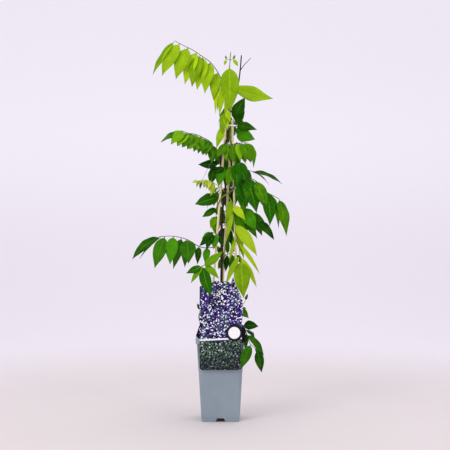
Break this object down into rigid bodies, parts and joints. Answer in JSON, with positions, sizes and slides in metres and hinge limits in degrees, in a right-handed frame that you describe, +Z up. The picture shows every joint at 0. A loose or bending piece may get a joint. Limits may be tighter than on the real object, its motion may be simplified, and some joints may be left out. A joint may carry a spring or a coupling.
{
  "type": "potted wisteria",
  "caption": "Young climbing plant with pinnate leaves, trained up bamboo canes in a square nursery pot with a printed card.",
  "frame": {"origin": "middle of the pot's underside, at the height of the surface it stands on", "axes": "+Z up, -Y towards the front with the card, +X to the right as seen from the front"},
  "size_m": [0.3815, 0.2194, 0.922],
  "materials": {
    "pot_plastic": "satin moulded",
    "soil": "rough",
    "bamboo": "smooth",
    "ring_plastic": "glossy",
    "bark": "rough",
    "green_stem": "satin",
    "leaf_young": "satin",
    "leaf_mid": "satin",
    "leaf_dark": "satin",
    "shoot": "satin",
    "label_card": "printed, satin",
    "label_sticker": "plain"
  },
  "bodies": {
    "root": {"pot": "pot_plastic", "soil": "soil", "cane_left": "bamboo", "cane_right": "bamboo", "cane_back": "bamboo", "cane_ring": "ring_plastic", "woody_stem": "bark", "green_stem": "green_stem", "label_card": "label_card", "label_sticker": "label_sticker", "frond_top_left": "leaf_young", "frond_top_front": "leaf_young", "young_leaf_left": "leaf_young", "young_leaf_right": "leaf_young", "frond_upper_left": "leaf_young", "frond_upper_right": "leaf_dark", "frond_second_left": "leaf_mid", "frond_center": "leaf_mid", "frond_left_dark": "leaf_dark", "frond_inner_left": "leaf_dark", "hanging_shoot": "shoot", "frond_young_left": "leaf_young", "frond_left_mid": "leaf_mid", "frond_center_front": "leaf_mid", "frond_right_high": "leaf_dark", "frond_right_mid": "leaf_mid", "frond_right_low": "leaf_dark", "frond_bright": "leaf_young", "frond_lower_left": "leaf_dark", "frond_left_small": "leaf_dark", "frond_star": "leaf_mid", "frond_low_right": "leaf_dark", "frond_small_right": "leaf_mid", "frond_low_left": "leaf_dark", "frond_core_high": "leaf_dark", "frond_core_mid": "leaf_dark", "frond_core_low": "leaf_dark", "frond_core_base": "leaf_dark", "frond_back_top": "leaf_mid", "frond_back_high": "leaf_mid", "frond_back_right": "leaf_dark", "frond_back_left": "leaf_mid", "frond_back_low": "leaf_dark", "frond_back_base": "leaf_dark"}
  },
  "joints": []
}
